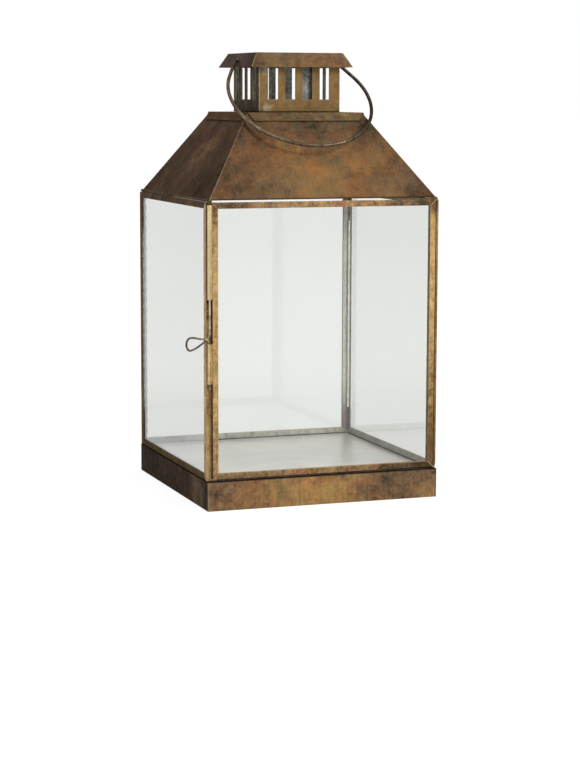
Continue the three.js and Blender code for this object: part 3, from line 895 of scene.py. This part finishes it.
def skin(name, grids, body, material, ring=False):
    """One mesh from closed grids of points[i, j], round in j.

    Quad i, j joins (i, j), (i, j + 1), (i + 1, j + 1) and (i + 1, j), with j taken round. With
    ring, i is taken round too; without it a fan of triangles closes each end."""
    verts, faces, base = [], [], 0
    for points in grids:
        rows, around = points.shape[:2]
        i, j = np.meshgrid(np.arange(rows if ring else rows - 1), np.arange(around), indexing="ij")
        after, k = (i + 1) % rows, (j + 1) % around
        corners = [i * around + j, i * around + k, after * around + k, after * around + j]
        faces += (base + np.stack(corners, -1).reshape(-1, 4)).tolist()
        verts.append(points.reshape(-1, 3))
        if not ring:
            verts.append(np.stack([points[0].mean(0), points[-1].mean(0)]))
            first, last = np.arange(around), (rows - 1) * around + np.arange(around)
            tips = np.full(around, rows * around)
            faces += (base + np.stack([tips, np.roll(first, -1), first], -1)).tolist()
            faces += (base + np.stack([tips + 1, last, np.roll(last, -1)], -1)).tolist()
        base = sum(len(part) for part in verts)
    mesh = bpy.data.meshes.new(name)
    mesh.from_pydata(np.vstack(verts).tolist(), [], faces)
    mesh.shade_smooth()
    mesh.set_sharp_from_angle(angle=math.radians(60))
    mesh.materials.append(material)
    made = bpy.data.objects.new(name, mesh)
    bpy.context.scene.collection.objects.link(made)
    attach(made, body)
    return made


def swept(path, radius, side, around=AROUND):
    """Circles along a path: p + r (cos a n + sin a b), where t is the path's direction,
    n = t x side made one long, and b = t x n."""
    t = np.gradient(path, axis=0)
    t /= np.linalg.norm(t, axis=1, keepdims=True)
    n = np.cross(t, side)
    n /= np.linalg.norm(n, axis=1, keepdims=True)
    b = np.cross(t, n)
    a = np.linspace(0, 2 * np.pi, around, endpoint=False)[None, :, None]
    radius = np.broadcast_to(radius, len(path))[:, None, None]
    return path[:, None] + radius * (np.cos(a) * n[:, None] + np.sin(a) * b[:, None])


def through(points, per_span=12):
    """A smooth curve through points: between two of them it is the cubic whose slope at each is
    half the step from the point before it to the point after it."""
    p = np.vstack([2 * points[0] - points[1], points, 2 * points[-1] - points[-2]])
    u = np.linspace(0, 1, per_span, endpoint=False)[None, :, None]
    a, b, c, d = (p[k : k + len(points) - 1, None] for k in range(4))
    cubic = b + 0.5 * u * (c - a + u * (2 * a - 5 * b + 4 * c - d + u * (3 * (b - c) + d - a)))
    return np.vstack([cubic.reshape(-1, 3), points[-1:]])


def even(path, step):
    """The same path with its points an even distance apart."""
    length = np.concatenate([[0], np.cumsum(np.linalg.norm(np.diff(path, axis=0), axis=1))])
    at = np.linspace(0, length[-1], max(4, round(length[-1] / step)))
    return np.stack([np.interp(at, length, path[:, k]) for k in range(3)], 1)


print("a wire has", AROUND, "points around it")


# %% [markdown]
# ## The bail
#
# The bail is one length of wire, bent to a ring with two short necks. Its ends pass through holes
# in the cap. It leans forward until the wire rests on the roof's two front hips, and that lean
# can be read off the CAD solid: the ring's far side is its furthest point to the front.

# %% The bail's wire
BAIL_WIRE = 2.9 * MM
BAIL_RADIUS = 60.9 * MM
BAIL_PLAY = 0.6 * MM
BAIL_REACH = 108.5 * MM
BAIL_ARC = math.radians(116)
BAIL_END = 37 * MM
BAIL_BEND = 3.4 * MM
BAIL_STEP = 1.2 * MM
pivot = next(j["pos_m"] for j in frame["joints"] if j["name"] == "bail_pivot")
bail_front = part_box("bail_handle")[0].y
lean = math.asin((-bail_front - BAIL_WIRE / 2) / BAIL_REACH)

ring_angle = np.linspace(BAIL_ARC, 0, 60)
ring_centre = BAIL_REACH - BAIL_RADIUS
ring = np.stack([np.sin(ring_angle), np.cos(ring_angle)], 1) * BAIL_RADIUS + [0, ring_centre]
neck_angle = BAIL_ARC - math.pi / 2
elbow = np.array([ring[0, 0] - ring[0, 1] * math.tan(neck_angle), 0.0])
neck_way = np.array([math.sin(neck_angle), math.cos(neck_angle)])
u = np.linspace(0, 1, 12)[:, None]
bend_from, bend_to = elbow - [BAIL_BEND, 0.0], elbow + BAIL_BEND * neck_way
bend = (1 - u) ** 2 * bend_from + 2 * u * (1 - u) * elbow + u**2 * bend_to
half = np.vstack([[[BAIL_END, 0.0]], bend, ring])
flat = np.vstack([half, (half * [-1, 1])[-2::-1]])
hang = np.array([0, -math.sin(lean), -math.cos(lean)])
bail_path = flat[:, :1] * [1, 0, 0] + flat[:, 1:] * hang + [BAIL_PLAY, 0, pivot[2]]
bail_side = np.array([0, math.cos(lean), -math.sin(lean)])
bail_grid = swept(even(bail_path, BAIL_STEP), BAIL_WIRE / 2, bail_side)
bail = skin("bail_wire", [bail_grid], "bail", dark_wire)
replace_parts(bail, "bail_handle")
print("the bail leans", round(math.degrees(lean), 2), "degrees forward")

# %% [markdown]
# ## The bolt
#
# The bolt is a thinner wire, bent to a finger loop where the two sleeves leave a window. The
# wires cross one in front of the other, so the path steps forward and back by most of a wire.

# %% The bolt's wire
BOLT_WIRE = 1.6 * MM
STRAND_GAP = 0.9 * MM
RETURN = 7.4 * MM
STRAIGHT = 3.2 * MM
LEAD_IN = 0.5 * MM
BOLT_STEP = 0.5 * MM
# the loop's line, in mm: distances out from the bolt, and heights over the window's lower edge
LOOP_OUT = [1.5, 3.6, 7, 10.2, 14.4, 17.6, 19.28, 19.38, 17.9, 15.4, 11.2, 7, 3.6, 1.3]
LOOP_OVER = [2.4, 3.7, 4.2, 4.8, 5.5, 4.9, 2.2, -1.3, -4.2, -4.7, -3, -0.3, 2.2, 4.4]
sleeve_low, sleeve_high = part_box("latch_sleeve_lower")
sleeve_axis = (sleeve_low + sleeve_high) / 2
bolt_low, bolt_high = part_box("latch_bolt")
sill = sleeve_high.z
out, over = np.array([LOOP_OUT, LOOP_OVER]) * MM
step_forward = -STRAND_GAP * np.cos(np.linspace(0, np.pi, len(out)))
loop_points = np.stack([-out, step_forward, sill + over], 1)
below = [bolt_low.z, (bolt_low.z + sill) / 2, sill - STRAIGHT, sill - LEAD_IN]
above = [sill + RETURN, sill + RETURN + STRAIGHT, (sill + bolt_high.z) / 2, bolt_high.z]
upward = np.array([[0.0, 0.0, 1.0]])
strands = [np.array([heights]).T * upward for heights in (below, above)]
bolt_points = np.vstack([strands[0], loop_points, strands[1]])
bolt_path = even(through(bolt_points), BOLT_STEP) + [sleeve_axis.x, sleeve_axis.y, 0]
bolt_grid = swept(bolt_path, BOLT_WIRE / 2, np.array([0, 1, 0]), 16)
bolt = skin("bolt_wire", [bolt_grid], "latch_bolt", bolt_wire_metal)
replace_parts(bolt, "latch_bolt")
print("bolt of", len(bolt_path), "points")

# %% [markdown]
# ## Sleeves, keeper and hinge tube
#
# Two sleeves on the door guide the bolt, and a keeper at the eave takes its end. The hinge is a
# longer tube round a pin. A cut tube has a thin wall and an edge that a file has softened, so
# its section is turned about its axis as a closed outline.

# %% The tubes


def tube_grid(low, high, radius, bore, soft):
    """A section turned about an upright axis: x = cx + r cos a, y = cy + r sin a, z = z. It goes
    up the outside, over a rim whose edge is rounded by soft, down the bore and back."""
    r = [radius, radius, radius - 0.3 * soft, radius - soft, bore, bore, radius - soft]
    z = [low.z + soft, high.z - soft, high.z - 0.3 * soft, high.z, high.z, low.z, low.z]
    r, z = np.array([*r, radius - 0.3 * soft]), np.array([*z, low.z + 0.3 * soft])
    a = np.linspace(0, 2 * np.pi, 32, endpoint=False)[None]
    centre = (low + high) / 2
    x, y = centre.x + r[:, None] * np.cos(a), centre.y + r[:, None] * np.sin(a)
    return np.stack([x, y, np.broadcast_to(z[:, None], x.shape)], -1)


SLEEVE_BORE = 1.2 * MM
HINGE_BORE = 0.85 * MM
FILED = 0.2 * MM
for name, body, slot, bore, material in (
    ("latch_sleeve_upper", "door", "frame_brass", SLEEVE_BORE, sleeve_brass),
    ("latch_sleeve_lower", "door", "frame_brass", SLEEVE_BORE, lower_sleeve_brass),
    ("latch_keeper", "lantern", "frame_brass", SLEEVE_BORE, rail_brass),
    ("door_hinge_tube", "door", "dark_wire", HINGE_BORE, hinge_brass),
):
    low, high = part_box(name)
    grid = tube_grid(low, high, (high.x - low.x) / 2, bore, FILED)
    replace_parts(skin(f"{name}_turned", [grid], body, material, ring=True), name)
print("two sleeves, keeper and hinge tube")

# %% [markdown]
# ## Runs of solder
#
# The seams are soft-soldered: at the plinth's front corner, along the roof's hips and the cap's,
# down the chimney's corners and the rear posts, in the door's mitres, and where the sleeves meet
# the door. A run is a thin bead that swells and shrinks a little along its length and thins out
# at both ends, and a blob is a short run that is as wide as it is long. Each is placed from the
# boxes of the CAD nodes that it joins, in millimetres, and it also closes the hair's breadth
# between them.

# %% A run of solder
SWELL = 9.0
RIPPLE = 3.7
STEP = 1.2


def run(start, end, radius, seed):
    """A bead on a straight line, in mm, with u from 0 to 1 along it:
    r = radius (1 + 0.2 sin(2 pi u f1 + s) + 0.12 sin(2 pi u f2 + 3 s)) sqrt(1 - |2u - 1|^p).
    f1 and f2 give a swell every 9 and 3.7 mm, and p makes the ends as long as they are wide.
    u has its points closest together at the ends."""
    start, way = np.array(start), np.subtract(end, start)
    length = np.linalg.norm(way)
    u = (1 - np.cos(np.linspace(0.02, np.pi - 0.02, max(9, round(length / STEP))))) / 2
    swell = 1 + 0.2 * np.sin(2 * np.pi * u * length / SWELL + seed)
    swell += 0.12 * np.sin(2 * np.pi * u * length / RIPPLE + 3 * seed)
    ends = np.sqrt(1 - np.abs(2 * u - 1) ** max(2, length / radius))
    side = [1.0, 0.3, 0.0] if abs(way[2]) > abs(way[0]) else [0, 0, 1.0]
    return swept((start + u[:, None] * way) * MM, radius * swell * ends * MM, side, 12)


def upright(x, y, foot, top, radius):
    """The start, end and radius of a run that stands upright."""
    return (x, y, foot), (x, y, top), radius


def hip(eave, eave_height, ridge, ridge_height, quarter, radius):
    """The start, end and radius of a run up a hip in one quarter of the plan, from eave out to
    ridge out on both axes."""
    x, y = quarter
    return (eave * x, eave * y, eave_height), (ridge * x, ridge * y, ridge_height), radius


def box(name):
    """The low and high corner of a CAD node's box, in mm."""
    return [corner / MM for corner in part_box(name)]


print("a run swells every", SWELL, "mm")

# %% Seams of the box and its plinth
plinth_low, plinth_high = box("plinth_skirt")
front_low, front_high = box("left_front_stile")
rear_low, rear_high = box("left_rear_stile")
right_low = box("right_rear_stile")[0]
back_low = box("back_left_stile")[0]
rail_low, rail_high = box("left_top_rail")
foot_low, foot_high = box("left_bottom_rail")
tube_low, tube_high = box("door_hinge_tube")
tube_top = Vector((tube_low.x, tube_high.y, tube_high.z))
stile_top = Vector((front_high.x, front_low.y, rail_high.z))
# each of these is (x, y, foot, top, radius)
plinth_corner = (plinth_low.x + 0.15, plinth_low.y + 0.15, 0.6, plinth_high.z - 0.3, 0.35)
rear_left = (rear_high.x + 1.1, back_low.y - 1.1, foot_low.z + 0.7, rail_high.z - 0.5, 1.9)
rear_right = (right_low.x - 0.4, back_low.y, rail_high.z - 24.5, rail_high.z - 0.2, 1.0)
rear_line = (right_low.x - 0.9, back_low.y - 1.7, foot_low.z + 23.7, rail_high.z - 28.5, 0.7)
lip = (rear_low.x + 1.0, rear_low.y - 0.7, foot_high.z - 0.3, rail_low.z - 0.5, 0.65)
lantern_seams = [
    upright(*plinth_corner),
    (tube_top + Vector((0.3, -0.4, 0.7)), tube_top + Vector((0.9, -0.8, 2.4)), 1.5),
    (stile_top + Vector((-0.4, -1.4, 0.1)), stile_top + Vector((0.8, -0.6, 1.1)), 1.1),
]
corner_seams = [upright(*rear_left), upright(*rear_right)]
print("rear left fillet at", round(rear_left[0], 2), round(rear_left[1], 2), "mm")

# %% Seams of the roof, chimney and cap
roof_low, roof_high = box("roof_right")
wall_low, wall_high = box("chimney_front")
far_low = box("chimney_back")[0]
cap_low, cap_high = box("chimney_cap")
roof_line = (roof_high.x - 0.5, roof_low.z + 0.2, roof_low.x + 0.55, roof_high.z - 0.1)
cap_line = (cap_high.x - 0.2, cap_low.z + 0.4, cap_high.x - 6.5, cap_high.z - 0.3)
hip_seams = [hip(*roof_line, (x, y), 0.3) for x in (-1, 1) for y in (-1, 1)]
wall_seams = [
    upright(x, wall_low.y + 0.1, wall_low.z + 0.4, cap_low.z + 0.8, radius)
    for x, radius in ((wall_low.x + 0.15, 0.4), (wall_high.x - 0.15, 0.25))
]
cap_seams = [
    hip(*cap_line, quarter, radius)
    for quarter, radius in (((-1, -1), 0.18), ((1, -1), 0.25), ((1, 1), 0.25), ((-1, 1), 0.25))
]
wall_joints = [
    upright(x, y, wall_low.z + 0.4, wall_high.z - 0.4, 0.25)
    for x in (wall_low.x + 0.35, wall_high.x - 0.35)
    for y in (wall_high.y + 0.15, far_low.y - 0.15)
]
print(len(wall_seams + cap_seams + wall_joints), "runs on the chimney")

# %% Seams of the door
MITRE = 4.6
door_low, door_high = box("door_latch_stile")
hinge_high = box("door_hinge_stile")[1]
face = door_low.y + 0.05
door_seams = [
    ((x, face, z), (x + MITRE * inward, face, z + MITRE * up), radius)
    for x, z, inward, up, radius in (
        (door_low.x, door_high.z, 1, -1, 0.3),
        (door_low.x, door_low.z, 1, 1, 0.3),
        (hinge_high.x, door_high.z, -1, -1, 0.6),
        (hinge_high.x, door_low.z, -1, 1, 0.3),
    )
]
for name, above, below in (("latch_sleeve_upper", 0.6, 0.4), ("latch_sleeve_lower", 0.5, 0.4)):
    low, high = box(name)
    beside = (high.x + 0.1, door_low.y - 0.1)
    door_seams.append(upright(*beside, low.z + above, high.z - below, 0.5))
print(len(door_seams), "runs on the door")

# %% All the solder
for name, body, seams, material in (
    ("solder_lantern", "lantern", lantern_seams, bright_solder),
    ("solder_chimney", "lantern", wall_seams + cap_seams + wall_joints, filed_solder),
    ("solder_roof", "lantern", hip_seams, bright_solder),
    ("solder_corners", "lantern", corner_seams, dull_solder),
    ("solder_rear_corner", "lantern", [upright(*rear_line)], painted_highlight_solder),
    ("solder_lip", "lantern", [upright(*lip)], lip_solder),
    ("solder_door", "door", door_seams, filed_solder),
):
    grids = [run(*seam, seed=k) for k, seam in enumerate(seams)]
    skin(name, grids, body, material)
    print(name, "of", len(seams), "runs")

# %% [markdown]
# ## Floor, world and lamps
#
# A product is shown on white. The floor and the world are white to the camera and to rays that
# passed through glass or off a gloss, so that the panes show the same background. The floor
# keeps some of its own shading, and with it the lantern's soft shadow, and its own light is a
# little lower near the lantern. Other rays find an even grey, which fills the shadows without
# washing the brass out.

# %% Floor and world
FILL = 0.4
WHITE = (1, 1, 1, 1)
PAPER = (0.8, 0.8, 0.8, 1)
SHADED = (0.22, 0.22, 0.22, 1)
NEAR, FAR = 0.25, 0.8
FLOOR_HALF = 30.0


def seen_directly(tree):
    """1 for rays from the camera, through glass or off a gloss, else 0."""
    path = add(tree, "ShaderNodeLightPath").outputs
    pair = {0: path["Is Camera Ray"], 1: path["Is Transmission Ray"]}
    pair = {0: add(tree, "ShaderNodeMath", pair, operation="MAXIMUM"), 1: path["Is Glossy Ray"]}
    return add(tree, "ShaderNodeMath", pair, operation="MAXIMUM")


floor_material, tree = new_material("studio floor, white paper")
paper = add(tree, "ShaderNodeBsdfDiffuse", {"Color": PAPER})
from_lantern = add(tree, "ShaderNodeTexCoord").outputs["Object"]
from_lantern = add(tree, "ShaderNodeVectorMath", {0: from_lantern}, operation="LENGTH")
glow = {"From Min": NEAR, "From Max": FAR, "To Min": 0.9, "To Max": 1.0}
glow["Value"] = from_lantern.outputs["Value"]
glow = add(tree, "ShaderNodeMapRange", glow)
glow = add(tree, "ShaderNodeEmission", {"Color": WHITE, "Strength": glow})
shade = add(tree, "ShaderNodeBsdfDiffuse", {"Color": SHADED})
bright = add(tree, "ShaderNodeAddShader", {0: glow, 1: shade})
mixed = add(tree, "ShaderNodeMixShader", {0: seen_directly(tree), 1: paper, 2: bright})
add(tree, "ShaderNodeOutputMaterial", {"Surface": mixed})
corners = np.array([(-1, -1, 0), (1, -1, 0), (1, 1, 0), (-1, 1, 0)]) * FLOOR_HALF
floor_mesh = bpy.data.meshes.new("studio_floor")
floor_mesh.from_pydata(corners.tolist(), [], [(0, 1, 2, 3)])
floor_mesh.materials.append(floor_material)
floor = bpy.data.objects.new("studio_floor", floor_mesh)
bpy.context.scene.collection.objects.link(floor)

world = bpy.data.worlds.new("white studio")
bpy.context.scene.world = world
world.use_nodes = True
tree = world.node_tree
tree.nodes.clear()
strength = {"Value": seen_directly(tree), "To Min": FILL, "To Max": 1.0}
strength = add(tree, "ShaderNodeMapRange", strength)
backdrop = add(tree, "ShaderNodeBackground", {"Color": WHITE, "Strength": strength})
add(tree, "ShaderNodeOutputWorld", {"Surface": backdrop})
print("world at", FILL, "for light that bounces")

# %% [markdown]
# ## Lamps
#
# A large softbox high on the right is the main light, so the front is bright and the left side
# falls off. A weak one fills the left side, and one overhead lights the slopes.

# %% The softboxes
AIM = Vector((0, 0, 0.2))


def softbox(name, place, size, power):
    """A square area lamp that faces the middle of the lantern, in metres and watts."""
    lamp = bpy.data.lights.new(name, "AREA")
    lamp.shape = "SQUARE"
    lamp.size = size
    lamp.energy = power
    made = bpy.data.objects.new(name, lamp)
    made.location = place
    way = AIM - Vector(place)
    made.rotation_euler = way.to_track_quat("-Z", "Y").to_euler()
    bpy.context.scene.collection.objects.link(made)
    print(name, power, "W")


softbox("key softbox", (1.3, -1.9, 1.5), 0.7, 38)
softbox("fill softbox", (-1.8, -1.4, 0.9), 1.2, 4)
softbox("top softbox", (0.2, -0.3, 2.2), 1.4, 8)

# %% [markdown]
# ## The camera
#
# The lantern is seen from in front and a little to the left and above. The camera's place,
# direction and focal length were worked out from the corners of the plinth, the glazed box, the
# eaves and the cap.

# %% Camera
CAMERA_PLACE = (-0.5870, -1.6575, 0.3337)
HEADING = math.radians(-19.671)
PITCH = math.radians(-8.077)
ROLL = math.radians(0.166)
FOCAL_PIXELS = 2061.3
FRAME_HEIGHT = 773
forward = Matrix.Rotation(HEADING, 3, "Z") @ Matrix.Rotation(PITCH, 3, "X") @ Vector((0, 1, 0))
level = Vector((math.cos(HEADING), math.sin(HEADING), 0))
plumb = level.cross(forward)
right = math.cos(ROLL) * level + math.sin(ROLL) * plumb
camera_up = math.cos(ROLL) * plumb - math.sin(ROLL) * level
camera_data = bpy.data.cameras.new("camera")
camera_data.lens = FOCAL_PIXELS * camera_data.sensor_width / FRAME_HEIGHT
camera = bpy.data.objects.new("camera", camera_data)
turn = Matrix((right, camera_up, -forward)).transposed().to_4x4()
camera.matrix_world = Matrix.Translation(CAMERA_PLACE) @ turn
bpy.context.scene.collection.objects.link(camera)
bpy.context.scene.camera = camera
bpy.context.scene.view_settings.view_transform = "Standard"
print("lens", round(camera_data.lens, 2), "mm")
